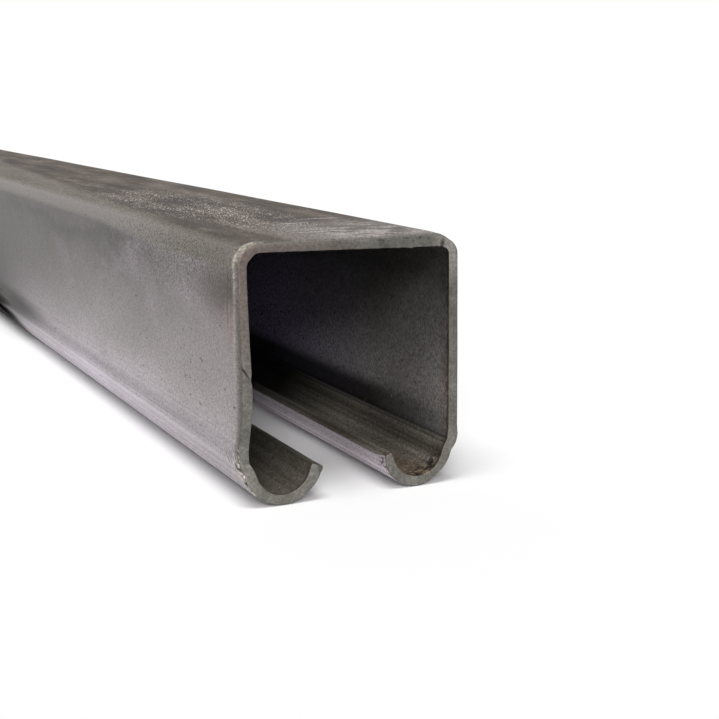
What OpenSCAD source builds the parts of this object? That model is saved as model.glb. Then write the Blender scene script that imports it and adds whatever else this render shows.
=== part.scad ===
// Sliding door track: one length of steel strip, roll formed to a box that is open below.
// The section is followed from the middle of the top out to the lip, bend by bend, the way
// the rolls form it, and the other half is its mirror image.

/* [Track] */
// Length of the piece
track_length = 2000; // [1000:500:6000]
// Width over the two side walls
track_width = 64; // [56:1:80]
// Height from the bottom of the troughs to the top
track_height = 70; // [56:1:90]
// Thickness of the strip
strip = 3; // [2:0.5:4]
// Gap between the two lips, which the hanger bolt runs in
slot_width = 18; // [14:1:22]

/* [Bends] */
// Inside radius of the top corners
corner_r = 3.2; // [2:0.1:6]
// Inside radius of the bend that steps a wall in
step_r = 1.7; // [1:0.1:4]
// Outside radius of the bend that turns the step down again
step_back_r = 3.7; // [2:0.1:6]
// Straight run between the step and the trough
step_run = 1; // [0.5:0.1:3]
// Straight run of the lip above the trough
lip_run = 2.9; // [1:0.1:5]

/* [Hidden] */
$fn = 96;

// Slopes from upright: the step goes 3 in for 4 down, and the trough's outer side 7 for 24.
// The lip leans in as far as the step turns back.
step_angle = atan2(3, 4);
trough_lean = atan2(7, 24);
lip_lean = step_angle - trough_lean;

// Outside radii of the bends that turn inwards
corner_out = corner_r + strip;
step_out = step_r + strip;

// Width that is left for the trough once the step and the lip have taken theirs
step_width = step_out * (1 - cos(step_angle))
    + step_back_r * (cos(trough_lean) - cos(step_angle))
    + step_run * sin(trough_lean);
lip_width = lip_run * sin(lip_lean);
trough_width = (track_width - slot_width) / 2 - step_width - lip_width;

// The trough is the round that spans that width, to a thousandth of a millimetre
trough_out = round(1000 * trough_width / (cos(trough_lean) + cos(lip_lean))) / 1000;
trough_turn = 180 - trough_lean - lip_lean;

// Height that the step and the trough take, and the straight runs that are left
step_height = step_out * sin(step_angle)
    + step_back_r * (sin(step_angle) - sin(trough_lean))
    + step_run * cos(trough_lean);
trough_height = trough_out * (1 - sin(trough_lean));
top_run = track_width / 2 - corner_out;
wall_run = track_height - corner_out - step_height - trough_height;

// Turns what follows by an angle about a point on the line across the strip
module turned(centre, angle) {
    translate([0, centre])
        rotate(angle)
            translate([0, -centre])
                children();
}

// All of the plane on one side of the line across the strip
module half_plane(reach, ahead) {
    translate([ahead ? 0 : -reach, -reach])
        square([reach, 2 * reach]);
}

// A flat stretch of strip, with its outside face on the X axis; what follows joins its end
module straight(run) {
    translate([0, -strip])
        square([run, strip]);
    translate([run, 0])
        children();
}

// A bend in the strip about a centre; a negative centre turns it inwards, a positive one outwards
module bend(centre, angle) {
    inner = centre < 0 ? -centre - strip : centre;
    outer = inner + strip;
    reach = 3 * outer;
    difference() {
        translate([0, centre])
            difference() {
                circle(r = outer);
                circle(r = inner);
            }
        half_plane(reach, false);
        turned(centre, angle)
            half_plane(reach, true);
    }
    turned(centre, angle)
        children();
}

// Half of the section, from the middle of the top to the tip of the lip
module half_section() {
    translate([0, track_height])
        straight(top_run)
            bend(-corner_out, -90)
                straight(wall_run)
                    bend(-step_out, -step_angle)
                        bend(step_back_r, step_angle - trough_lean)
                            straight(step_run)
                                bend(-trough_out, -trough_turn)
                                    straight(lip_run);
}

module section() {
    half_section();
    mirror([1, 0])
        half_section();
}

// The track lies along Y, on the two troughs
module track() {
    color("#8d8a86")
        rotate([90, 0, 0])
            linear_extrude(height = track_length, center = true)
                section();
}

track();
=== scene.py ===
# %% [markdown]
# # A length of sliding door track
# The real thing is one steel strip, 3 mm thick, that rolls bend stage by stage into a box that
# is open below. Its two edges end as lips beside a slot, and the trolley's wheels run in the
# troughs behind them. Nothing is welded or screwed on, so there is one piece to make: the strip.
# The plain solid is loaded first, because the overall sizes are measured on it.

# %% The frame
import math

import bmesh
import bpy
import numpy as np
from mathutils import Matrix, Vector


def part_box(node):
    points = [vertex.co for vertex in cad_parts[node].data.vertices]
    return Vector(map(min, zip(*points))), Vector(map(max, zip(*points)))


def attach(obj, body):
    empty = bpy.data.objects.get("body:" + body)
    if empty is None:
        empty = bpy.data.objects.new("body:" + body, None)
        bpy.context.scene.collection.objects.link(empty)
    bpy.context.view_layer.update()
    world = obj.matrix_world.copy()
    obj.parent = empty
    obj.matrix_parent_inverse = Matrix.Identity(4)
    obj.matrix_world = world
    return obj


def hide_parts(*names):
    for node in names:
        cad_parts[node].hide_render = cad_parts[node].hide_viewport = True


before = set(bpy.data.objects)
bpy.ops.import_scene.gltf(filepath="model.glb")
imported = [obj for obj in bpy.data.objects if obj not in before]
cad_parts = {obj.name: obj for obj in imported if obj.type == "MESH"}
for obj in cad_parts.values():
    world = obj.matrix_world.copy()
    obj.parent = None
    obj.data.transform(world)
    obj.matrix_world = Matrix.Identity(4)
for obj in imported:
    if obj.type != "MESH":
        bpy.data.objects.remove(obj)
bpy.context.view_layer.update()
low, high = (1000.0 * np.array(corner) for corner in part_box("track"))
TRACK_W, TRACK_L, TRACK_H = np.round(high - low, 1)
print("track", TRACK_W, "wide,", TRACK_H, "high,", TRACK_L, "mm long")

# %% [markdown]
# ## The section
# A rolled section could be drawn as an outline and extruded. It is easier to describe the way it
# is made: as a strip that runs straight, bends by an angle on a radius, and runs straight again.
# That also gives each point a place across the strip, which the wear and the materials use. The
# overall width, height and length come from the frame. The strip's thickness, the slot and the
# bends are the part's own sizes, and each radius is the smaller one of its bend.

# %% Sizes of the strip and its bends, in millimetres
STRIP = 3.0
SLOT = 18.0
CORNER_R = 3.2
STEP_R = 1.7
STEP_BACK_R = 3.7
STEP_RUN = 1.0
LIP_RUN = 2.9
STEP_ANGLE = math.atan2(3, 4)
TROUGH_LEAN = math.atan2(7, 24)
LIP_LEAN = STEP_ANGLE - TROUGH_LEAN

corner_out = CORNER_R + STRIP
step_out = STEP_R + STRIP
step_w = step_out * (1 - math.cos(STEP_ANGLE)) + STEP_RUN * math.sin(TROUGH_LEAN)
step_w += STEP_BACK_R * (math.cos(TROUGH_LEAN) - math.cos(STEP_ANGLE))
trough_w = (TRACK_W - SLOT) / 2 - step_w - LIP_RUN * math.sin(LIP_LEAN)
trough_out = trough_w / (math.cos(TROUGH_LEAN) + math.cos(LIP_LEAN))
step_h = step_out * math.sin(STEP_ANGLE) + STEP_RUN * math.cos(TROUGH_LEAN)
step_h += STEP_BACK_R * (math.sin(STEP_ANGLE) - math.sin(TROUGH_LEAN))
top_run = TRACK_W / 2 - corner_out
wall_run = TRACK_H - corner_out - step_h - trough_out * (1 - math.sin(TROUGH_LEAN))
print("trough's outside radius", round(trough_out, 2), "wall run", round(wall_run, 2))

# %% [markdown]
# ## The middle line of the strip
# Each stretch has a length along the strip's middle and an angle that it turns through. The
# heading then changes evenly along a bend and not at all along a run, so it is a straight-line
# interpolation of the running totals, and the points are the sum of small steps along it.
# That needs no formula for any one arc, and neighbouring stretches can't fail to meet.

# %% Stretches from the middle of the top to the right lip, and the whole strip from lip to lip
MID = STRIP / 2
FINE_POINTS = 60001
corner_arc = (CORNER_R + MID) * math.pi / 2
trough_arc = (trough_out - MID) * (math.pi - STEP_ANGLE)
half_strip = np.array([
    (top_run, 0.0),
    (corner_arc, -math.pi / 2),
    (wall_run, 0.0),
    ((STEP_R + MID) * STEP_ANGLE, -STEP_ANGLE),
    ((STEP_BACK_R + MID) * LIP_LEAN, LIP_LEAN),
    (STEP_RUN, 0.0),
    (trough_arc, STEP_ANGLE - math.pi),
    (LIP_RUN, 0.0),
])
whole_strip = np.concatenate([half_strip[::-1], half_strip])
stretch_ends = np.concatenate([[0.0], np.cumsum(whole_strip[:, 0])])
headings = np.concatenate([[0.0], np.cumsum(whole_strip[:, 1])])
STRIP_W = stretch_ends[-1]
TOP = STRIP_W / 2
headings -= np.interp(TOP, stretch_ends, headings)

fine = np.linspace(0.0, STRIP_W, FINE_POINTS)
fine_step = fine[1] - fine[0]
fine_heading = np.interp(fine, stretch_ends, headings)
mean_heading = (fine_heading[1:] + fine_heading[:-1]) / 2
fine_x = np.concatenate([[0.0], np.cumsum(np.cos(mean_heading) * fine_step)])
fine_z = np.concatenate([[0.0], np.cumsum(np.sin(mean_heading) * fine_step)])
fine_x -= np.interp(TOP, fine, fine_x)
fine_z += TRACK_H - MID - np.interp(TOP, fine, fine_z)


def bent(across, out):
    """A point of the flat strip, bent to the section: the middle line's point at that distance
    across the strip, moved along its outward normal by the distance out from the middle."""
    heading = np.interp(across, fine, fine_heading)
    x = np.interp(across, fine, fine_x) - out * np.sin(heading)
    z = np.interp(across, fine, fine_z) + out * np.cos(heading)
    return x, z


def on_wall(side, height):
    """Distance across the strip of a height on a side wall, from the middle of the top out over the
    corner and down the wall; side is -1 for the left wall and 1 for the right one."""
    return TOP + side * (top_run + corner_arc + TRACK_H - corner_out - height)


print("strip is", round(STRIP_W, 1), "mm wide before it is bent")

# %% [markdown]
# ## Round the strip's edge
# Cut across, the flat strip is a thin rectangle with slightly rounded corners, where the
# slitting knives left its edges. One closed loop of points follows it: over the outside face,
# round the right edge, back along the inside face and round the left edge. Bends get closer
# points than straight runs. The second half is the first with its sign turned, so every point
# of the outside face has a partner on the inside face, which the cut ends use later.

# %% The loop of points, with its own outward normals in the plane of the flat strip
SLIT_R = 0.35
SLIT_POINTS = 4
RUN_STEP = 1.0
BEND_STEP = 0.6
steps = np.where(whole_strip[:, 1] == 0.0, RUN_STEP, BEND_STEP)
counts = np.ceil(whole_strip[:, 0] / steps).astype(int)
stretches = zip(stretch_ends[:-1], stretch_ends[1:], counts)
flat = np.concatenate([np.linspace(start, end, count, endpoint=False) for start, end, count in stretches])
flat = flat[(flat > 2 * SLIT_R) & (flat < STRIP_W - 2 * SLIT_R)]

quarter = np.linspace(0.0, math.pi / 2, SLIT_POINTS)
corner_across = SLIT_R * (1 - np.cos(quarter))
corner_up = MID - SLIT_R * (1 - np.sin(quarter))
chain_across = np.concatenate([[0.0], corner_across, flat, STRIP_W - corner_across[::-1], [STRIP_W]])
chain_out = np.concatenate([[0.0], corner_up, np.full(len(flat), MID), corner_up[::-1], [0.0]])
chain_n_across = np.concatenate([[-1.0], -np.cos(quarter), np.zeros(len(flat)), np.cos(quarter[::-1]), [1.0]])
chain_n_out = np.concatenate([[0.0], np.sin(quarter), np.ones(len(flat)), np.sin(quarter[::-1]), [0.0]])


def closed(chain, sign):
    """A chain along the outside face, then back along the inside face with its sign kept or turned."""
    return np.concatenate([chain, sign * chain[-2:0:-1]])


loop_across = closed(chain_across, 1)
loop_out = closed(chain_out, -1)
loop_n_across = closed(chain_n_across, 1)
loop_n_out = closed(chain_n_out, -1)
print("points round the strip", len(loop_across))

# %% [markdown]
# ## Wear, bows and the marks of the cut
# Rolled strip is never quite flat, so its faces get a wave of a few hundredths of a millimetre
# that shows only in the way light slides along them. The cut end has been cropped: the blade has
# bowed the left wall in and the right wall out by about half a millimetre, swollen the left corner,
# flattened the right one and dragged the inner edge of the top down on the right, with burrs.
# Metal is smeared over the left step, and the tip of the right lip is chipped. All this could be
# sculpted, but a table can be read and changed: each mark is one row, a smooth hill on the flat
# strip that fades away from the cut, so the mesh stays one closed surface.


# %% Hills and ragged edges
def bump(value, centre, width):
    """A smooth hill of height 1: e to the minus square of the distance from its centre over its width."""
    return np.exp(-((value - centre) / width) ** 2)


def ragged(value, lengths, seed):
    """A rough edge between 0 and 1: sines of several wavelengths, with seeded phases, squared."""
    phases = np.random.default_rng(seed).uniform(0, 2 * math.pi, len(lengths))
    waves = [np.sin(2 * math.pi * value / length + phase) for length, phase in zip(lengths, phases)]
    return (sum(waves) / len(waves) * 0.5 + 0.5) ** 2


def marked(marks, across, depth):
    """A sum of marks at the cut end: each one's amount, times a hill across the strip and one along it."""
    return sum(amount * bump(across, place, width) * bump(depth, 0.0, reach)
               for amount, place, width, reach in marks)


print("a hill at its centre", bump(0.0, 0.0, 1.0), "and one width away", round(bump(1.0, 0.0, 1.0), 3))

# %% Marks of the cut: amount, place across the strip, half width and reach along it, in millimetres
corner_middle = top_run + corner_arc / 2
BOWS = [
    (-0.50, on_wall(-1, 36.0), 15.0, 3.5),  # left wall, drawn in
]
OUTSIDE_MARKS = [
    (0.80, on_wall(-1, 9.5), 4.0, 4.5),  # metal smeared over the left step
    (0.65, 1.2, 3.6, 3.0),  # left lip, thicker at its tip
    (-1.15, STRIP_W, 1.8, 3.0),  # right lip, chipped at its tip
    (0.30, TOP - corner_middle, 3.5, 6.0),  # left corner, swollen
    (-0.50, TOP + corner_middle - 1.0, 2.0, 5.0),  # right corner, flattened
    (0.55, on_wall(1, 12.8), 2.0, 6.0),  # right step, swollen
    (-0.70, STRIP_W - LIP_RUN - 0.74 * trough_arc, 4.0, 8.0),  # right trough, flattened on its outer side
]
INSIDE_MARKS = [
    (0.45, on_wall(-1, 29.5), 8.0, 1.4),  # left wall, thicker below the tear
    (-0.40, on_wall(-1, 34.6), 0.8, 1.4),  # notch where the tear ends
    (0.20, TOP - corner_middle, 3.0, 4.0),  # left corner, swollen
]
BURRS = [
    (0.15, TOP, 60.0, 1.4),  # fine burr along the top and the walls
    (0.60, TOP + 16.5, 2.4, 1.4),  # two coarse ones under the right half of the top
    (0.80, TOP + 27.5, 2.0, 1.4),
]
LOST_MARKS = [
    (1.8, on_wall(-1, 15.0), 6.0, 6.0),  # low corner of the left wall, worn back
]
cut_tables = (BOWS, OUTSIDE_MARKS, INSIDE_MARKS, BURRS, LOST_MARKS)
print("marks of the cut", sum(len(table) for table in cut_tables))

# %% How far the faces and the cut are pushed, in millimetres
# Heights of two waves, and the lengths along and across the strip in which each turns by a radian
WAVE, WAVE_ALONG, WAVE_ACROSS = 0.05, 47.0, 13.0
TWIST, TWIST_ALONG, TWIST_ACROSS = 0.03, 21.0, 31.0
FLAT_EDGE, FLAT_FADE = 30.0, 10.0
RIGHT_BOW, RIGHT_BOW_REACH = 0.42, 30.0
RIGHT_BOW_HEIGHTS = (67.5, 65.0, 15.0, 12.0)
# The inner edge of the top is thinner on the left and hangs down on the right
SAG_LEFT, SAG_RIGHT, SAG_REACH, SAG_FADE = -0.45, 0.62, 3.0, 3.0
BLADE_WAVE, BLADE_REACH = 0.12, 6.0
# Wavelengths of the rough edges, and the seeds of their phases
RAGGED_MARKS = ((9.1, 4.3, 2.6, 1.7), 3)
RAGGED_BURRS = ((5.3, 3.1, 2.2), 11)
RAGGED_BLADE = ((61.0, 37.0, 17.0), 5)


def bulge(across, depth):
    """Outward push of the whole wall: long waves, which end above the troughs that the track lies on,
    the left wall's bow at the cut and the right wall's, which is even from its corner to its step."""
    waves = WAVE * np.sin(depth / WAVE_ALONG + 1.1) * np.sin(across / WAVE_ACROSS + 0.4)
    waves += TWIST * np.sin(depth / TWIST_ALONG + across / TWIST_ACROSS)
    from_edge = np.minimum(across, STRIP_W - across)
    waves *= np.clip((from_edge - FLAT_EDGE) / FLAT_FADE, 0, 1)
    bow_places = [on_wall(1, height) for height in RIGHT_BOW_HEIGHTS]
    right_bow = RIGHT_BOW * np.interp(across, bow_places, [0, 1, 1, 0]) * bump(depth, 0.0, RIGHT_BOW_REACH)
    return waves + marked(BOWS, across, depth) + right_bow


def burr(across, out, depth):
    """Growth of the strip's thickness at the cut end: the marks on its outside, each up to a fifth more
    or less, or those on its inside with sharp burrs and the sag of the top's inner edge, which grows
    from left to right."""
    outside = marked(OUTSIDE_MARKS, across, depth) * (0.8 + 0.4 * ragged(across, *RAGGED_MARKS))
    sag = np.interp(across - TOP, [-top_run, top_run], [SAG_LEFT, SAG_RIGHT]) * bump(depth, 0.0, SAG_REACH)
    sag *= np.clip((top_run + SAG_FADE - np.abs(across - TOP)) / SAG_FADE, 0, 1)
    sharp = marked(BURRS, across, depth) * ragged(across, *RAGGED_BURRS)
    inside = marked(INSIDE_MARKS, across, depth) + sharp + sag
    return np.where(out > 0, outside, inside) * out / MID


def lost(across, depth):
    """Length missing at the cut end: the blade's own wave and the low corner of the left wall."""
    wave = BLADE_WAVE * ragged(across, *RAGGED_BLADE) * bump(depth, 0.0, BLADE_REACH)
    return wave + marked(LOST_MARKS, across, depth)


print("left wall is drawn in by", round(-bulge(on_wall(-1, 36.0), 0.0), 2), "mm at the cut")

# %% [markdown]
# ## From strip to mesh
# Rings of that loop stand along the length: close together at the ends, where the edges are
# rounded off, and 20 mm apart between them. A Bevel modifier would round every edge alike, so
# the rounding is worked out here. The blade's roll-over is largest on the left wall, where a
# bright line marks its start: partly rubbed metal, partly a painted highlight. Each end is closed
# by a ladder of faces between the outside points and their partners inside.

# %% How far the blade has rolled each point of the loop over, and the rings along the length
# Radii of a plain edge and of the roll-over on the top and on the left wall, and its greatest depth
EDGE_R = 0.22
TOP_R = 1.6
WALL_R = 3.2
ROLLED_IN = 1.1
EDGE_POINTS = 7
RING_STEP = 20.0
RINGS_FROM = 55.0
RINGS_END = 20.0
# Place across the strip and radius there
ROLL_OVER = np.array([
    (0.0, 0.4),
    (on_wall(-1, 8.0), 0.6),
    (on_wall(-1, 15.0), WALL_R),
    (on_wall(-1, 42.0), WALL_R),
    (on_wall(-1, 60.0), TOP_R),
    (TOP, TOP_R),
    (TOP + 40.0, 0.7),
    (STRIP_W, 0.4),
])
near_r = np.where(loop_out > 0, np.interp(loop_across, *ROLL_OVER.T), EDGE_R)
near_r = np.where(np.abs(loop_across - TOP) > TOP - SLIT_R, EDGE_R, near_r)
near_in = np.minimum(near_r, ROLLED_IN)
far_r = np.full(len(loop_across), EDGE_R)

rounding = np.radians(np.linspace(90.0, 0.0, EDGE_POINTS))[:, None]
behind_edge = np.array([0.4, 0.9, 1.6, 2.5, 3.6, 5.0, 7.0, 10.0, 14.0, 19.0, 26.0, 36.0, 50.0])[:, None]
ring_count = int((TRACK_L - RINGS_FROM - RINGS_END) / RING_STEP)
between = np.linspace(RINGS_FROM, TRACK_L - RINGS_END, ring_count)[1:, None]
before_far = TRACK_L - np.array([10.0, 4.0, 1.0])[:, None]
depths = np.concatenate([behind_edge + near_r, between + 0 * near_r, before_far + 0 * near_r])

near_end, far_end = rounding, rounding[::-1]
inset = np.concatenate([near_in * (1 - np.cos(near_end)), 0 * depths, far_r * (1 - np.cos(far_end))])
near_depths = near_r * (1 - np.sin(near_end))
far_depths = TRACK_L - far_r * (1 - np.sin(far_end))
ring_depth = np.concatenate([near_depths, depths, far_depths])
ring_across = loop_across - loop_n_across * inset
ring_out = loop_out - loop_n_out * inset
ring_cut = np.concatenate([np.sin(near_end) + 0 * near_r, 0 * depths, np.sin(far_end) + 0 * near_r])
print("rings", len(ring_depth))

# %% The rubbed line at the start of the roll-over, partly a painted highlight: place across the strip and amount
# Partly rubbed metal, partly a painted highlight where the wall turns into the roll-over
RUBBED_W = 0.8
RAGGED_RUB = ((7.0, 3.3, 2.1), 8)
RUBBED = np.array([
    (on_wall(-1, 26.0), 0.0),
    (on_wall(-1, 36.0), 0.2),
    (on_wall(-1, 46.0), 0.35),
    (on_wall(-1, 54.0), 0.5),
    (TOP - 33.0, 0.85),
    (TOP - 26.5, 0.85),
    (TOP - 24.0, 0.0),
])
rub_here = np.interp(loop_across, *RUBBED.T) * (loop_out > 0)
rub_here *= 0.4 + 0.6 * ragged(loop_across, *RAGGED_RUB)
ring_rubbed = rub_here * bump(ring_depth, 0.95 * near_r, RUBBED_W)
print("rubbed points", np.count_nonzero(ring_rubbed > 0.1))

# %% End faces: ladders between the outside points of the last ring and their partners inside
LADDER = np.linspace(0.0, 1.0, 5)[:, None]
chain_n = len(chain_across)
partner = np.concatenate([[0], np.arange(len(loop_across) - 1, chain_n - 1, -1), [chain_n - 1]])


def ladder(values, ring):
    """Values across the end face of a ring: straight lines from each outside point to its partner."""
    return values[ring, :chain_n] * (1 - LADDER) + values[ring, partner] * LADDER


def with_ends(values):
    """Values of all rings, then those of the near and the far end face, as one flat array."""
    return np.concatenate([part.ravel() for part in (values, ladder(values, 0), ladder(values, -1))])


def grid_faces(rows, columns, first, wrap):
    """Quads of a grid of points in rows, numbered from first; wrap joins the last column to the first."""
    index = first + np.arange(rows * columns).reshape(rows, columns)
    following = np.roll(index, -1, axis=1)
    quads = np.stack([index[:-1], index[1:], following[1:], following[:-1]], -1)
    return (quads if wrap else quads[:, :-1]).reshape(-1, 4)


across = with_ends(ring_across)
out = with_ends(ring_out)
depth = with_ends(ring_depth)
end_size = len(LADDER) * chain_n
cut = np.concatenate([ring_cut.ravel(), np.ones(2 * end_size)])
rubbed = np.concatenate([ring_rubbed.ravel(), np.zeros(2 * end_size)])

body_faces = grid_faces(len(ring_depth), len(loop_across), 0, True)
near_faces = grid_faces(len(LADDER), chain_n, ring_across.size, False)
far_faces = grid_faces(len(LADDER), chain_n, ring_across.size + end_size, False)
faces = np.concatenate([body_faces, near_faces, far_faces])

x, z = bent(across, out + bulge(across, depth) + burr(across, out, depth))
y = depth + lost(across, depth) - TRACK_L / 2
points = np.stack([x, y, z], -1) / 1000.0
print("points", len(points), "faces", len(faces))

# %% One mesh, with the place on the strip kept as attributes for the materials
OUTSIDE, INSIDE, CROPPED = range(3)
# A face that is turned this far towards the end shows cut metal
CUT_SHOWS = 0.80
MERGE = 1e-7
mesh = bpy.data.meshes.new("rolled_track")
mesh.from_pydata(points, [], faces)
kept = {"across": across / 1000.0, "rubbed": rubbed, "cut": cut}
for name, values in kept.items():
    layer = mesh.attributes.new(name, "FLOAT", "POINT")
    layer.data.foreach_set("value", values.astype(np.float32))

face_slit = np.abs(across[faces].mean(1) - TOP) > TOP - 0.5 * SLIT_R
face_inside = (out[faces].mean(1) < -0.9 * MID) | face_slit
face_cropped = cut[faces].mean(1) > CUT_SHOWS
kinds = np.where(face_cropped, CROPPED, np.where(face_inside, INSIDE, OUTSIDE))
mesh.polygons.foreach_set("material_index", kinds.astype(np.int32))
mesh.polygons.foreach_set("use_smooth", np.ones(len(faces), bool))

track = bpy.data.objects.new("rolled_track", mesh)
bpy.context.scene.collection.objects.link(track)

shape = bmesh.new()
shape.from_mesh(mesh)
bmesh.ops.remove_doubles(shape, verts=shape.verts, dist=MERGE)
bmesh.ops.recalc_face_normals(shape, faces=shape.faces)
open_edges = sum(not edge.is_manifold for edge in shape.edges)
shape.to_mesh(mesh)
shape.free()
print("faces", len(mesh.polygons), "open edges", open_edges)

# %% [markdown]
# ## Steel, three ways
# The strip is mild steel with nothing painted or plated on it. Its outside has been through the
# rolls and the yard: a satin grey with fine grain, scuffs and stains. Its inside keeps more of
# the dark mill scale, with brown dust in the troughs. The cut ends are clean metal with a fine
# grain. Pictures could be wrapped round the strip, but noise and soft ovals need no picture and
# stay sharp from close by. All three materials read the object's own coordinates in metres, which
# a Mapping node divides by a pattern's real size.


# %% Colours and nodes
MM = 0.001
CUT_Y = -TRACK_L * MM / 2
# A Mix node has sockets of the same name for numbers and for colours, so the colour ones go by number
MIX_FACTOR, MIX_A, MIX_B, MIX_RESULT = 0, 6, 7, 2


def linear(code):
    """An sRGB hex colour as linear red, green, blue and alpha: a straight line near black, and above
    it the shifted value to the power 2.4."""
    srgb = np.array([int(code[i:i + 2], 16) for i in (1, 3, 5)]) / 255.0
    return tuple(np.where(srgb <= 0.04045, srgb / 12.92, ((srgb + 0.055) / 1.055) ** 2.4)) + (1.0,)


def behind(distance):
    """The Y coordinate in metres of a distance in millimetres behind the cut end: the end's own Y plus
    that distance."""
    return CUT_Y + distance * MM


def add(tree, kind, inputs=None, stops=(), output=0, **settings):
    """A node with its settings, its inputs set or linked, and the stops of its colour ramp, which are
    pairs of a position and a hex colour. It gives back one output, or the node where that is None."""
    node = tree.nodes.new(kind)
    for name, value in settings.items():
        setattr(node, name, value)
    for name, value in (inputs or {}).items():
        if isinstance(value, bpy.types.NodeSocket):
            tree.links.new(value, node.inputs[name])
        else:
            node.inputs[name].default_value = value
    for number, (position, code) in enumerate(stops):
        ramp = node.color_ramp.elements
        element = ramp[number] if number < len(ramp) else ramp.new(position)
        element.position = position
        element.color = linear(code)
    return node if output is None else node.outputs[output]


print("mid grey is", round(linear("#808080")[0], 3), "in linear light")


# %% Masks and layers
def pattern(tree, place, sizes, detail=2.0, roughness=0.5, turn=0.0, slant=0.0):
    """Noise around one half, whose features have these sizes in millimetres along X, Y and Z, turned
    about X and slanted about Z by angles in degrees."""
    scaled = add(tree, "ShaderNodeMapping", {
        "Vector": place, "Scale": [size * MM for size in sizes],
        "Rotation": (math.radians(turn), 0.0, math.radians(slant))}, vector_type="TEXTURE")
    return add(tree, "ShaderNodeTexNoise", {
        "Vector": scaled, "Scale": 1.0, "Detail": detail, "Roughness": roughness})


def spot(tree, place, centre, sizes, soft=1.0, turn=0.0):
    """A soft-edged oval mask, 1 inside and 0 outside: its centre is across the track, behind the cut
    end and up, its half sizes are along the same axes, all in millimetres, turned about Y."""
    scaled = add(tree, "ShaderNodeMapping", {
        "Vector": place, "Location": (centre[0] * MM, behind(centre[1]), centre[2] * MM),
        "Scale": [size * MM for size in sizes],
        "Rotation": (0.0, math.radians(turn), 0.0)}, vector_type="TEXTURE")
    reach = add(tree, "ShaderNodeVectorMath", {0: scaled}, output="Value", operation="LENGTH")
    return add(tree, "ShaderNodeMapRange", {
        "Value": reach, "From Min": 1.0, "From Max": 1.0 - soft}, interpolation_type="SMOOTHSTEP")


def layered(tree, colour, layers):
    """Colours laid over one another in order, each where its mask is 1."""
    for mask, over in layers:
        inputs = {MIX_FACTOR: mask, MIX_A: colour, MIX_B: linear(over) if isinstance(over, str) else over}
        colour = add(tree, "ShaderNodeMix", inputs, output=MIX_RESULT, data_type="RGBA")
    return colour


def all_of(tree, *masks):
    """A mask that is 1 only where all of these are: their product."""
    product = masks[0]
    for mask in masks[1:]:
        product = add(tree, "ShaderNodeMath", {0: product, 1: mask}, operation="MULTIPLY")
    return product


def new_material(name):
    """An empty node tree in the track's next material slot, with its place, its three axes, and how far
    a point lies across the strip from the middle of the top: the size of the difference."""
    material = bpy.data.materials.new(name)
    material.use_nodes = True
    tree = material.node_tree
    tree.nodes.clear()
    track.data.materials.append(material)
    place = add(tree, "ShaderNodeTexCoord", output="Object")
    axes = add(tree, "ShaderNodeSeparateXYZ", {"Vector": place}, output=None).outputs
    across_strip = add(tree, "ShaderNodeAttribute", output="Fac", attribute_name="across")
    from_top = add(tree, "ShaderNodeMath", {0: across_strip, 1: TOP * MM}, operation="SUBTRACT")
    aside = add(tree, "ShaderNodeMath", {0: from_top}, operation="ABSOLUTE")
    return tree, place, axes, aside


# Most of the noise lies between these two values
NOISE_SPAN = {"From Min": 0.34, "From Max": 0.66}
# Relief of the grain, which is drawn 0.6 to 0.9 mm wide so that it shows: steel's own is far finer
GRAIN_DEPTH = 0.2 * MM
print("the cut end is at Y", round(behind(0), 3), "m")

# %% [markdown]
# ### Pickled mild steel, rolled outside face
# Acid pickling leaves a dull, even grey, and the rolls polish it a little. The eye gets a soft
# satin sheen, a fine salt-and-pepper grain, walls painted paler and slightly lilac low down as a
# painted reflection of the floor, dark lines that the rolls drew along the step, a pale band round
# the top corners that is a painted reflection, and a browner, scuffed top. The walls come first: a
# colour ramp over the height, whose level wanders a little so that it doesn't look ruled.

# %% Outside face: the walls, by height, with painted light low down and the lines of the rolls
# The walls' own grey by height, painted paler and lilac low down as a painted reflection of the floor
WALL_COLOURS = [
    (0.0, "#c8c0c9"), (0.09, "#c3bbc4"), (0.20, "#b6aeb5"), (0.30, "#a9a2a5"), (0.55, "#878282"),
    (0.78, "#676262"), (0.865, "#565151"), (0.90, "#625d5c"), (1.0, "#625d5c")]
ROLL_LINES = [
    (0.0, "#ffffff"), (0.20, "#ffffff"), (0.24, "#ececec"), (0.28, "#ffffff"), (0.40, "#ffffff"),
    (0.44, "#e0e0e0"), (0.48, "#ffffff"), (0.57, "#ffffff"), (0.61, "#dedede"), (0.65, "#fafafa"),
    (0.71, "#ececec"), (0.755, "#d8d8d8"), (0.80, "#f0f0f0"), (0.90, "#ffffff")]
LINES_TO = 20 * MM
WANDER = 6 * MM
tree, place, axes, aside = new_material("pickled_mild_steel_rolled")
blotch = pattern(tree, place, (60, 110, 34), 3.0)
mottle = pattern(tree, place, (26, 40, 20), 4.0, 0.6)
shift = add(tree, "ShaderNodeMapRange", {
    "Value": blotch, "From Min": 0.3, "From Max": 0.7, "To Min": -WANDER, "To Max": WANDER})
height = add(tree, "ShaderNodeMath", {0: axes["Z"], 1: shift}, operation="ADD")
level = add(tree, "ShaderNodeMapRange", {"Value": height, "From Max": TRACK_H * MM})
# Painted light: paler and lilac low on the walls, a painted reflection of the floor
wall = add(tree, "ShaderNodeValToRGB", {"Fac": level}, WALL_COLOURS)
line_place = add(tree, "ShaderNodeMapRange", {"Value": axes["Z"], "From Max": LINES_TO})
lines = add(tree, "ShaderNodeValToRGB", {"Fac": line_place}, ROLL_LINES)
lined = add(tree, "ShaderNodeMix", {MIX_FACTOR: 1.0, MIX_A: wall, MIX_B: lines}, output=MIX_RESULT,
            data_type="RGBA", blend_type="MULTIPLY")
print("walls take", len(tree.nodes), "nodes")
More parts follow.
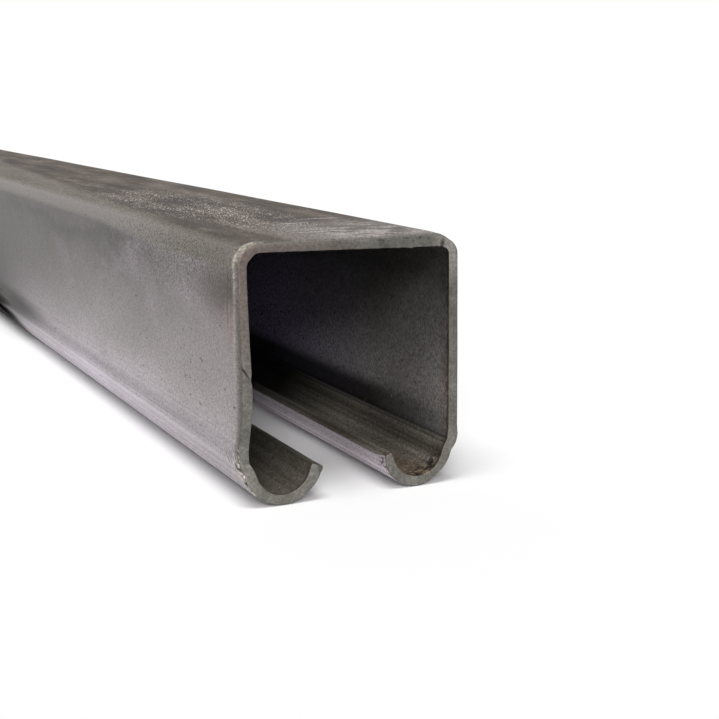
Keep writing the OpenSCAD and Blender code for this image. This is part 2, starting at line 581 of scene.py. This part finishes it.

# %% [markdown]
# ### Stains on the left wall
# Handling has left a pale patch by the cut. Under the corner there is a dark patch, and beside
# the bright edge dark streaks are painted shade. Further along, a dark smear lies low on the wall,
# black where it reaches the floor. A stain has no sharp outline, so each is a soft oval, and they
# are laid over one another in order.

# %% Outside face: stains, as centre, half sizes, softness and colour
WALL_STAINS = [
    ((-32, 330, 42), (30, 230, 46), 1.0, "#5c5757"),
    ((-32, 8, 57), (10, 42, 13), 1.0, "#554e49"),
    ((-32, 6, 49), (10, 6, 9), 1.0, "#8a7b78"),
    ((-32, 350, 18), (20, 115, 30), 1.0, "#24211f"),
    ((-32, 312, 16.5), (10, 112, 8.0), 0.7, "#2f2c2b"),
    ((-30, 354, 3), (40, 88, 12), 0.30, "#050405"),
]
near = add(tree, "ShaderNodeMapRange", {
    "Value": axes["Y"], "From Min": behind(110), "From Max": behind(10), "To Max": 0.55},
    interpolation_type="SMOOTHSTEP")
lilac = add(tree, "ShaderNodeMapRange", {"Value": mottle, "From Min": 0.52, "From Max": 0.72, "To Max": 0.30})
olive = add(tree, "ShaderNodeMapRange", {"Value": mottle, "From Min": 0.48, "From Max": 0.28, "To Max": 0.35})
stains = [(near, "#918b8a"), (lilac, "#aaa0a8"), (olive, "#85837d")]
stains += [(spot(tree, place, centre, sizes, soft), code) for centre, sizes, soft, code in WALL_STAINS]
stained = layered(tree, lined, stains)
smears = pattern(tree, place, (9, 70, 5), 3.0)
smear = add(tree, "ShaderNodeMapRange", {"Value": smears, "From Min": 0.35, "From Max": 0.55, "To Min": 0.6})
# Where the dark smear turns black near the floor, the surface is matt and not metallic
soot = all_of(tree, smear, spot(tree, place, (-30, 355, 8), (40, 105, 22), 0.7))
# Painted shade: dark brown vertical streaks beside the bright edge under the corner, by the cut
runs = pattern(tree, place, (5, 1.4, 22), 2.0)
run = add(tree, "ShaderNodeMapRange", {"Value": runs, "From Min": 0.50, "From Max": 0.58})
run_here = all_of(tree, run, spot(tree, place, (-32, 5.5, 57), (8, 5, 14)))
walls = layered(tree, stained, [(run_here, "#473b36")])
print("stains", len(stains))

# %% [markdown]
# ### Corner band, top and lips
# A pale band round the top corners is a painted reflection, set lower and paler further from the
# cut. On the top, brown scale starts along a slanting line that leaves the left corner, and near
# the cut the top is painted paler as a painted reflection. The lips are painted the palest of all,
# as painted light from the floor, and paler still further in where they lie in shade. The places
# are read from the coordinates and from the distance across the strip, so that no edge has to be
# cut into the mesh.

# %% Outside face: the corner band's painted reflection, and the top
WEDGE_SLOPE = 0.0655
WEDGE_START = -32.5 * MM - WEDGE_SLOPE * behind(34)
TOP_BROWNS = [(0.34, "#261e1a"), (0.50, "#40372f"), (0.66, "#5f554f")]
TOP_PALES = [(0.3, "#544e46"), (0.7, "#645e56")]
scuff = pattern(tree, place, (9, 42, 9), 4.0, 0.7)
# Painted reflection: a pale band round the top corner, set lower and paler further from the cut
climb = add(tree, "ShaderNodeMapRange", {
    "Value": axes["Y"], "From Min": behind(70), "From Max": behind(130), "To Max": -2 * MM})
banded = add(tree, "ShaderNodeMath", {0: axes["Z"], 1: climb}, operation="ADD")
rise = add(tree, "ShaderNodeMapRange", {"Value": banded, "From Min": 62.2 * MM, "From Max": 64.0 * MM})
band = add(tree, "ShaderNodeMapRange", {"Value": axes["Y"], "From Min": behind(40), "From Max": behind(110)})
top_brown = add(tree, "ShaderNodeValToRGB", {"Fac": scuff}, TOP_BROWNS)
leaning = add(tree, "ShaderNodeMath", {0: axes["Y"], 1: -WEDGE_SLOPE, 2: axes["X"]}, operation="MULTIPLY_ADD")
wedge = add(tree, "ShaderNodeMapRange", {
    "Value": leaning, "From Min": WEDGE_START - 1 * MM, "From Max": WEDGE_START + 5 * MM},
    interpolation_type="SMOOTHSTEP")
dark = spot(tree, place, (-22, 130, 70), (9, 110, 30))
# Painted reflection: the top painted paler near the cut, right of the left corner
handled = add(tree, "ShaderNodeMapRange", {
    "Value": axes["Y"], "From Min": behind(60), "From Max": behind(8)}, interpolation_type="SMOOTHSTEP")
right_of_corner = add(tree, "ShaderNodeMapRange", {
    "Value": axes["X"], "From Min": -18 * MM, "From Max": 2 * MM})
top_pale = add(tree, "ShaderNodeValToRGB", {"Fac": scuff}, TOP_PALES)
tops = layered(tree, top_pale, [
    (wedge, top_brown),
    (all_of(tree, dark, wedge), "#2a231e"),
    (all_of(tree, handled, right_of_corner), "#8c8683")])
print("with the top it takes", len(tree.nodes), "nodes")

# %% Outside face: lips, the rolled-over edge and the layers so far
on_top = add(tree, "ShaderNodeMapRange", {"Value": axes["Z"], "From Min": 68.5 * MM, "From Max": 69.9 * MM})
# Painted light: the lips painted pale lilac in place of light from the floor, paler still further in where
# they lie in shade
on_lip = add(tree, "ShaderNodeMapRange", {
    "Value": aside, "From Min": (TOP - 12) * MM, "From Max": (TOP - 7) * MM})
lip_in = add(tree, "ShaderNodeMapRange", {"Value": axes["Y"], "From Min": behind(10), "From Max": behind(90)})
chips = pattern(tree, place, (1.2, 1.2, 1.2), 3.0, 0.7)
chip = add(tree, "ShaderNodeMapRange", {"Value": chips, "From Min": 0.46, "From Max": 0.54})
rolled_over = add(tree, "ShaderNodeAttribute", output="Fac", attribute_name="cut")
towards_end = add(tree, "ShaderNodeMapRange", {"Value": rolled_over, "From Min": 0.05, "From Max": 0.75})
coloured = layered(tree, walls, [
    (rise, "#69645c"),
    (all_of(tree, rise, band), "#7b7672"),
    (on_top, tops),
    (on_lip, "#cdc3ca"),
    (all_of(tree, on_lip, lip_in), "#f8eef5"),
    (towards_end, "#66625c"),
    (all_of(tree, chip, spot(tree, place, (10.5, 1.0, 8.0), (5, 5, 7))), "#4a4038"),
    # Painted shade: a dark spot on the shaded side of the rolled right corner by the cut
    (spot(tree, place, (32.4, 0.4, 64.2), (1.5, 3.0, 3.4), 0.7), "#24211f")])
print("with the lips it takes", len(tree.nodes), "nodes")

# %% [markdown]
# ### Scuffs
# Other stock has been dragged over the top slantwise, so its pale flecks are short slanting
# streaks. Nearer the cut there are smudges and scratches across it. The blade has dragged the
# metal of the left step, and pits lie low on the left wall. Each is noise, stretched along the way
# that the mark was made, and kept to a soft oval.

# %% Outside face: flecks, smudges, scratches, drags, the rubbed edge with its painted highlight, and pits
DRAG_SLANT = -21.0
BLADE_TURN = -50.0
flecks = pattern(tree, place, (0.42, 3.2, 0.42), 2.0, 0.6, slant=DRAG_SLANT)
fleck = add(tree, "ShaderNodeMapRange", {"Value": flecks, "From Min": 0.53, "From Max": 0.74})
fleck_more = add(tree, "ShaderNodeMapRange", {"Value": scuff, "From Min": 0.30, "From Max": 0.54})
fleck_patch = spot(tree, place, (-5, 115, 70), (27, 135, 30), 0.7)
smudges = pattern(tree, place, (9, 6, 9), 4.0, 0.7)
smudge = add(tree, "ShaderNodeMapRange", {"Value": smudges, "From Min": 0.44, "From Max": 0.56})
smudge_patch = spot(tree, place, (12, 20, 70), (28, 34, 6), 0.7)
scratches = pattern(tree, place, (16, 1.6, 16), 1.0, 0.4)
scratch = add(tree, "ShaderNodeMapRange", {"Value": scratches, "From Min": 0.64, "From Max": 0.70})
scratch_patch = spot(tree, place, (8, 36, 70), (26, 38, 6))
drags = pattern(tree, place, (0.9, 0.8, 5), 3.0, 0.75, turn=BLADE_TURN)
drag = add(tree, "ShaderNodeMapRange", {"Value": drags, "From Min": 0.48, "From Max": 0.58})
gouge = add(tree, "ShaderNodeMapRange", {"Value": drags, "From Min": 0.46, "From Max": 0.38})
drag_patch = spot(tree, place, (-30, 2.5, 9), (13, 12, 10), 0.7)
# Rubbed metal and a painted highlight where the roll-over starts
rub = add(tree, "ShaderNodeAttribute", output="Fac", attribute_name="rubbed")
pits = pattern(tree, place, (1.4, 2.6, 1.2), 1.0, 0.4)
pit_patch = spot(tree, place, (-32, 30, 30), (10, 55, 26))
pit_more = add(tree, "ShaderNodeMath", {0: pit_patch, 1: 0.05, 2: pits}, operation="MULTIPLY_ADD")
pit = add(tree, "ShaderNodeMapRange", {
    "Value": pit_more, "From Min": 0.745, "From Max": 0.785, "To Max": 0.9})
worn = layered(tree, coloured, [
    (all_of(tree, smudge, on_top, smudge_patch), "#544e48"),
    (all_of(tree, fleck, fleck_more, fleck_patch), "#d0c8c2"),
    (all_of(tree, scratch, scratch_patch), "#c8c2be"),
    (all_of(tree, drag, drag_patch), "#c4beb8"),
    (all_of(tree, gouge, drag_patch), "#4a4541"),
    (rub, "#cfc9bb"),
    (pit, "#332f2e")])
print("with scuffs it takes", len(tree.nodes), "nodes")

# %% [markdown]
# ### Grain and sheen outside
# The grain makes each colour a little lighter or darker, most on the sandy left corner, with
# slanting grit on the top and lines drawn along the length low down. The same grain stands out
# as fine relief. The walls are satin metal, the scaled top is duller, and the black smear is matt.

# %% Outside face: grain, sheen and the shader
WALL_ROUGH, TOP_ROUGH = 0.52, 0.80
WALL_METAL, TOP_METAL = 0.80, 0.35
WALL_GRAIN, SANDY_GRAIN = 0.29, 0.8
TOP_GRIT = 0.35
DRAWN_LINES = 1.3
grain = pattern(tree, place, (0.6, 0.8, 0.6), 2.0, 0.85)
streak = pattern(tree, place, (1.6, 500, 1.6), 2.0)
sandy = spot(tree, place, (-31, 55, 64), (14, 95, 18))
contrast = add(tree, "ShaderNodeMapRange", {"Value": sandy, "To Min": WALL_GRAIN, "To Max": SANDY_GRAIN})
salt = add(tree, "ShaderNodeMapRange", {"Value": grain, **NOISE_SPAN, "To Min": -1.0})
walls_speckle = add(tree, "ShaderNodeMath", {0: salt, 1: contrast, 2: 1.0}, operation="MULTIPLY_ADD")
grit = pattern(tree, place, (0.6, 4.0, 0.6), 2.0, 0.7, slant=DRAG_SLANT)
gritty = add(tree, "ShaderNodeMapRange", {
    "Value": grit, **NOISE_SPAN, "To Min": -TOP_GRIT, "To Max": TOP_GRIT})
speckle = add(tree, "ShaderNodeMath", {0: gritty, 1: on_top, 2: walls_speckle}, operation="MULTIPLY_ADD")
low_down = add(tree, "ShaderNodeMapRange", {
    "Value": axes["Z"], "From Min": 26 * MM, "From Max": 10 * MM, "To Max": DRAWN_LINES})
drawn = add(tree, "ShaderNodeMath", {0: streak, 1: 0.5}, operation="SUBTRACT")
shade = add(tree, "ShaderNodeMath", {0: drawn, 1: low_down, 2: speckle}, operation="MULTIPLY_ADD")
colour = add(tree, "ShaderNodeVectorMath", {0: worn, "Scale": shade}, operation="SCALE")
rough = add(tree, "ShaderNodeMapRange", {"Value": on_top, "To Min": WALL_ROUGH, "To Max": TOP_ROUGH})
metal = add(tree, "ShaderNodeMapRange", {"Value": on_top, "To Min": WALL_METAL, "To Max": TOP_METAL})
clean = add(tree, "ShaderNodeMath", {0: 1.0, 1: soot}, operation="SUBTRACT")
skin = add(tree, "ShaderNodeBump", {"Height": grain, "Strength": 0.3, "Distance": GRAIN_DEPTH})
sheen = add(tree, "ShaderNodeMath", {0: clean, 1: 0.5}, operation="MULTIPLY")
steel = add(tree, "ShaderNodeBsdfPrincipled", {
    "Base Color": colour, "Metallic": all_of(tree, metal, clean), "Specular IOR Level": sheen,
    "Roughness": add(tree, "ShaderNodeMath", {0: rough, 1: soot}, operation="MAXIMUM"), "Normal": skin})
add(tree, "ShaderNodeOutputMaterial", {"Surface": steel}, output=None)
print("material", track.data.materials[OUTSIDE].name, "has", len(tree.nodes), "nodes")

# %% [markdown]
# ### Mill scale, inside face
# The inside has seen the rolls only at the bends, so it keeps more of the blue-grey oxide that
# hot rolling leaves. The eye gets a duller, more speckled face, with a band of painted shade above
# the step, brown dust where it lies flat, painted shade deeper in the trough, a paler lilac tint
# deeper in that is painted light, and a strip of crumbling rust at the end of the right trough.
# The distance across the strip tells wall from trough, whatever way the face looks.

# %% Inside face: scale, dust, painted light and painted shade
STEP_ASIDE = on_wall(1, 12.6) - TOP
SCALE_COLOURS = [(0.3, "#7e7977"), (0.7, "#999593")]
DUST_COLOURS = [(0.36, "#565148"), (0.50, "#6e6960"), (0.64, "#807a71")]
tree, place, axes, aside = new_material("mill_scale_inside")
scale_blotch = pattern(tree, place, (30, 70, 22), 3.0)
scale = add(tree, "ShaderNodeValToRGB", {"Fac": scale_blotch}, SCALE_COLOURS)
# Painted light: a paler lilac tint deeper in, in place of floor light reflected through the slot
deep = add(tree, "ShaderNodeMapRange", {"Value": axes["Y"], "From Min": behind(45), "From Max": behind(120)})
in_trough = add(tree, "ShaderNodeMapRange", {
    "Value": aside, "From Min": STEP_ASIDE * MM, "From Max": (STEP_ASIDE + 1.5) * MM})
streaks = pattern(tree, place, (1.5, 180, 1.5), 3.0, 0.6)
dust = add(tree, "ShaderNodeValToRGB", {"Fac": streaks}, DUST_COLOURS)
left_side = add(tree, "ShaderNodeMapRange", {
    "Value": axes["X"], "From Min": 5 * MM, "From Max": -5 * MM, "To Max": 0.45})
# Painted shade: the trough painted near-black deeper in
dirty_depth = add(tree, "ShaderNodeMapRange", {
    "Value": axes["Y"], "From Min": behind(55), "From Max": behind(115), "To Max": 0.93})
# Painted shade: a near-black band above the step, darker deeper in
dirt = add(tree, "ShaderNodeMapRange", {
    "Value": aside, "From Min": (STEP_ASIDE - 9.8) * MM, "From Max": (STEP_ASIDE - 4.0) * MM},
    interpolation_type="SMOOTHSTEP")
dirt_ends = add(tree, "ShaderNodeMapRange", {
    "Value": aside, "From Min": (STEP_ASIDE + 1.6) * MM, "From Max": (STEP_ASIDE + 0.6) * MM})
dirt_deep = add(tree, "ShaderNodeMapRange", {
    "Value": axes["Y"], "From Min": behind(6), "From Max": behind(50), "To Min": 0.35, "To Max": 0.90})
print("scale, dust and dirt take", len(tree.nodes), "nodes")

# %% Inside face: the brown edge by the cut, rust and the layers so far
edge_noise = pattern(tree, place, (2.2, 2.2, 2.2), 3.0, 0.7)
by_edge = add(tree, "ShaderNodeMapRange", {"Value": axes["Y"], "From Min": behind(6), "From Max": behind(1)})
edge_some = add(tree, "ShaderNodeMapRange", {
    "Value": edge_noise, "From Min": 0.40, "From Max": 0.60, "To Max": 0.8})
rusty_side = add(tree, "ShaderNodeMapRange", {
    "Value": axes["X"], "From Min": -15 * MM, "From Max": 5 * MM, "To Min": 0.2})
rim = add(tree, "ShaderNodeMapRange", {
    "Value": axes["Y"], "From Min": behind(1.6), "From Max": behind(0.4), "To Max": 0.75})
rust = spot(tree, place, (18.5, 6, 4), (7.0, 30, 6), 0.45)
crumbs = pattern(tree, place, (1.3, 1.6, 1.3), 3.0, 0.75)
crumb = add(tree, "ShaderNodeMapRange", {"Value": crumbs, "From Min": 0.46, "From Max": 0.53})
rust_edge = add(tree, "ShaderNodeMapRange", {"Value": crumbs, "From Min": 0.50, "From Max": 0.40})
crumb_patch = spot(tree, place, (22, 1.5, 6), (10, 8, 9), 0.7)
tinted = layered(tree, scale, [
    (deep, "#a8a1b8"),
    (in_trough, dust),
    (all_of(tree, in_trough, left_side), "#3a372f"),
    (all_of(tree, in_trough, dirty_depth), "#0d0c0b"),
    (all_of(tree, dirt, dirt_ends, dirt_deep), "#0b0a0c"),
    (all_of(tree, by_edge, edge_some, rusty_side), "#5a4a3e"),
    (rim, "#352b24"),
    (rust, "#5c5044"),
    (all_of(tree, rust, rust_edge), "#7f6f5b"),
    (all_of(tree, crumb, crumb_patch), "#1d1511")])
print("with the rust it takes", len(tree.nodes), "nodes")

# %% [markdown]
# ### Roll lines and grain inside
# The rolls that formed the step drew dark lines along it, as a ramp over the distance past the
# step. Scale has flaked off here and there, which leaves pale specks near the cut and black ones
# everywhere. Painted shade makes it darkest under the top, and painted light makes it paler deeper in.

# %% Inside face: lines of the rolls, specks, grain and the shader
INSIDE_LINES = [
    (0.0, "#ffffff"), (0.15, "#d8d8d8"), (0.21, "#6c6c6c"), (0.25, "#ffffff"), (0.36, "#ffffff"),
    (0.41, "#8c8c8c"), (0.46, "#f2f2f2"), (0.62, "#e0e0e0"), (0.66, "#b4b4b4"), (0.72, "#ffffff")]
SCALE_METAL, SCALE_ROUGH = 0.35, 0.5
past_step = add(tree, "ShaderNodeMapRange", {
    "Value": aside, "From Min": (STEP_ASIDE - 2) * MM, "From Max": (STEP_ASIDE + 8) * MM})
inside_lines = add(tree, "ShaderNodeValToRGB", {"Fac": past_step}, INSIDE_LINES)
ruled = add(tree, "ShaderNodeMix", {MIX_FACTOR: 1.0, MIX_A: tinted, MIX_B: inside_lines}, output=MIX_RESULT,
            data_type="RGBA", blend_type="MULTIPLY")
specks = pattern(tree, place, (1.4, 1.4, 1.4), 1.0, 0.4)
near_cut = add(tree, "ShaderNodeMapRange", {
    "Value": axes["Y"], "From Min": behind(75), "From Max": behind(20)})
pale = add(tree, "ShaderNodeMapRange", {"Value": specks, "From Min": 0.73, "From Max": 0.79, "To Max": 0.7})
black = add(tree, "ShaderNodeMapRange", {"Value": specks, "From Min": 0.27, "From Max": 0.23, "To Max": 0.9})
specked = layered(tree, ruled, [(all_of(tree, pale, near_cut), "#b9b4ae"), (black, "#171413")])
scale_grain = pattern(tree, place, (0.8, 0.8, 0.8), 2.0, 0.85)
scale_speckle = add(tree, "ShaderNodeMapRange", {
    "Value": scale_grain, **NOISE_SPAN, "To Min": 0.50, "To Max": 1.50})
# Painted shade: darker higher up, under the top
under_top = add(tree, "ShaderNodeMapRange", {
    "Value": axes["Z"], "From Min": 26 * MM, "From Max": 58 * MM, "To Min": 1.08, "To Max": 0.22})
# Painted light: the scale painted up to twice as bright deeper in
paler_deep = add(tree, "ShaderNodeMath", {0: deep, 1: 1.0}, operation="ADD")
scale_shade = all_of(tree, scale_speckle, under_top, paler_deep)
colour = add(tree, "ShaderNodeVectorMath", {0: specked, "Scale": scale_shade}, operation="SCALE")
skin = add(tree, "ShaderNodeBump", {"Height": scale_grain, "Strength": 0.4, "Distance": GRAIN_DEPTH})
oxide = add(tree, "ShaderNodeBsdfPrincipled", {
    "Base Color": colour, "Metallic": SCALE_METAL, "Roughness": SCALE_ROUGH, "Normal": skin})
add(tree, "ShaderNodeOutputMaterial", {"Surface": oxide}, output=None)
print("material", track.data.materials[INSIDE].name, "has", len(tree.nodes), "nodes")

# %% [markdown]
# ### Cropped steel, ends
# From a cropping blade the eye gets a flat, slightly warm grey with a fine grain, duller and darker
# than the rolled faces beside it. It is browner high on the left, torn across the left wall, dark
# where the left lip broke away at the end of the stroke, and bright on the right corner. Dents
# along the top and in that corner are thin dark ovals, turned to lie as the dents do.

# %% Cut ends, with dents as centre, half sizes and turn
DENTS = [
    ((16.6, 0, 69.0), (1.5, 5, 0.35), 12.0),
    ((20.6, 0, 69.1), (1.3, 5, 0.35), -25.0),
    ((9.0, 0, 68.9), (1.6, 5, 0.3), 5.0),
    ((27.3, 0, 67.1), (1.1, 5, 1.9), 15.0),
    ((32.1, 0, 64.4), (0.7, 5, 2.6), -12.0),
]
FRESH_COLOURS = [(0.3, "#625f59"), (0.7, "#807e78")]
CUT_METAL, CUT_ROUGH = 0.75, 0.5
tree, place, axes, aside = new_material("cropped_mild_steel")
cut_grain = pattern(tree, place, (0.9, 0.9, 0.9), 3.0, 0.85)
cloud = pattern(tree, place, (6, 6, 6), 4.0, 0.65)
fresh = add(tree, "ShaderNodeValToRGB", {"Fac": cloud}, FRESH_COLOURS)
browner = spot(tree, place, (-30, 0, 64), (42, 30, 40))
end_face = add(tree, "ShaderNodeAttribute", output="Fac", attribute_name="cut")
# Painted shadow: a dark line where the rounded edge turns into the end face
beside = add(tree, "ShaderNodeMapRange", {
    "Value": end_face, "From Min": 0.99, "From Max": 0.90, "To Max": 0.25})
tear = spot(tree, place, (-30.2, 0, 36.9), (0.45, 6, 3.6), 0.8, turn=-33.0)
broken = spot(tree, place, (-9.2, 0, 9.0), (1.9, 4, 4.2), 1.0)
bright_corner = spot(tree, place, (30, 0, 66), (9, 6, 14), 1.0)
dents = [(spot(tree, place, centre, sizes, 1.0, angle), "#46413b") for centre, sizes, angle in DENTS]
cropped = layered(tree, fresh, [
    (browner, "#7b6f6a"), (beside, "#48443f"), (tear, "#3a3633"), (broken, "#55514b"),
    (bright_corner, "#9d9993")] + dents)
cut_speckle = add(tree, "ShaderNodeMapRange", {
    "Value": cut_grain, **NOISE_SPAN, "To Min": 0.66, "To Max": 1.34})
high_up = add(tree, "ShaderNodeMapRange", {
    "Value": axes["Z"], "From Max": TRACK_H * MM, "To Min": 1.05, "To Max": 0.70})
cut_shade = all_of(tree, cut_speckle, high_up)
colour = add(tree, "ShaderNodeVectorMath", {0: cropped, "Scale": cut_shade}, operation="SCALE")
skin = add(tree, "ShaderNodeBump", {"Height": cut_grain, "Strength": 0.3, "Distance": GRAIN_DEPTH})
raw = add(tree, "ShaderNodeBsdfPrincipled", {
    "Base Color": colour, "Metallic": CUT_METAL, "Roughness": CUT_ROUGH, "Normal": skin})
add(tree, "ShaderNodeOutputMaterial", {"Surface": raw}, output=None)
print("material", track.data.materials[CROPPED].name, "has", len(tree.nodes), "nodes")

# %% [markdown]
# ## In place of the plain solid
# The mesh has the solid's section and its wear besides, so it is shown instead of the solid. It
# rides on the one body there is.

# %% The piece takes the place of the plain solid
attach(track, "root")
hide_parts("track")
print(track.name, "stands for the solid")

# %% [markdown]
# ## Floor and light
# The track lies on a white sweep in soft light from all round. The sweep could be curved up at
# the back, but a wide flat floor under a white world looks the same. The floor is white paint
# that takes the track's shadow, with a little glow of its own that only the camera sees, so that
# it runs into the white background.

# %% Floor
FLOOR_HALF = 12.0
FLOOR_GLOW = 0.05
corners = np.array([(-1, -1, 0), (1, -1, 0), (1, 1, 0), (-1, 1, 0)]) * FLOOR_HALF
floor_mesh = bpy.data.meshes.new("floor")
floor_mesh.from_pydata(corners, [], [(0, 1, 2, 3)])
floor = bpy.data.objects.new("floor", floor_mesh)
bpy.context.scene.collection.objects.link(floor)
floor_paint = bpy.data.materials.new("white_sweep")
floor_paint.use_nodes = True
tree = floor_paint.node_tree
tree.nodes.clear()
seen = add(tree, "ShaderNodeLightPath", output="Is Camera Ray")
paint = add(tree, "ShaderNodeBsdfDiffuse", {"Color": linear("#eeeeee")})
strength = add(tree, "ShaderNodeMath", {0: seen, 1: FLOOR_GLOW}, operation="MULTIPLY")
glow = add(tree, "ShaderNodeEmission", {"Strength": strength})
sweep = add(tree, "ShaderNodeAddShader", {0: paint, 1: glow})
add(tree, "ShaderNodeOutputMaterial", {"Surface": sweep}, output=None)
floor_mesh.materials.append(floor_paint)
print("floor", 2 * FLOOR_HALF, "m across")

# %% [markdown]
# ## World and lamps
# Steel shows what is round it, so the world is white to the camera and to mirrored and bent rays,
# and only a faint fill otherwise. Two wide, soft lamps do the lighting: one from above, and one
# from the camera's side that looks into the track.

# %% World and lamps
FILL = 0.12
scene = bpy.context.scene
scene.view_settings.view_transform = "Standard"
world = bpy.data.worlds.new("studio")
scene.world = world
world.use_nodes = True
tree = world.node_tree
tree.nodes.clear()
path = add(tree, "ShaderNodeLightPath", output=None).outputs
mirrored = add(tree, "ShaderNodeMath", {
    0: path["Is Glossy Ray"], 1: path["Is Transmission Ray"]}, operation="MAXIMUM")
shown = add(tree, "ShaderNodeMath", {0: path["Is Camera Ray"], 1: mirrored}, operation="MAXIMUM")
bright = add(tree, "ShaderNodeMapRange", {"Value": shown, "To Min": FILL, "To Max": 1.0})
sky = add(tree, "ShaderNodeBackground", {"Color": linear("#ffffff"), "Strength": bright})
add(tree, "ShaderNodeOutputWorld", {"Surface": sky}, output=None)


def lamp(name, towards, strength, softness):
    """A lamp so far off that its light is even: the way its light goes, its strength, and how many
    degrees of the sky it fills."""
    light = bpy.data.lights.new(name, "SUN")
    light.energy = strength
    light.angle = math.radians(softness)
    holder = bpy.data.objects.new(name, light)
    holder.matrix_world = Vector(towards).to_track_quat("-Z", "Y").to_matrix().to_4x4()
    scene.collection.objects.link(holder)


lamp("overhead", (0.18, 0.2, -1.0), 2.3, 32.0)
lamp("front", (0.40, 1.0, -0.62), 1.8, 24.0)

# %% [markdown]
# ## Camera
# It stands to the left of the cut end, a little above the track, and looks along it. Its place
# is given from the foot of the cut end, in millimetres. Its three directions are worked out from
# yaw, pitch and roll, because those are the angles that a photographer would set.

# %% Camera
FOCAL_PX = 1369.2
PICTURE_PX = 719
SENSOR = 36.0
YAW, PITCH, ROLL = np.radians([25.22, 11.23, -0.445])
STAND = np.array([-150.1, -323.6 - TRACK_L / 2, 108.4]) * MM
ahead = np.array([math.sin(YAW) * math.cos(PITCH), math.cos(YAW) * math.cos(PITCH), -math.sin(PITCH)])
sideways = np.array([math.cos(YAW), -math.sin(YAW), 0.0])
above = np.cross(sideways, ahead)
right = math.cos(ROLL) * sideways + math.sin(ROLL) * above
up = -math.sin(ROLL) * sideways + math.cos(ROLL) * above
pose = np.eye(4)
pose[:3] = np.stack([right, up, -ahead, STAND], -1)
lens = bpy.data.cameras.new("camera")
lens.sensor_width = SENSOR
lens.lens = FOCAL_PX / PICTURE_PX * SENSOR
camera = bpy.data.objects.new("camera", lens)
camera.matrix_world = Matrix(pose.tolist())
scene.collection.objects.link(camera)
scene.camera = camera
print("lens", round(lens.lens, 2), "mm")
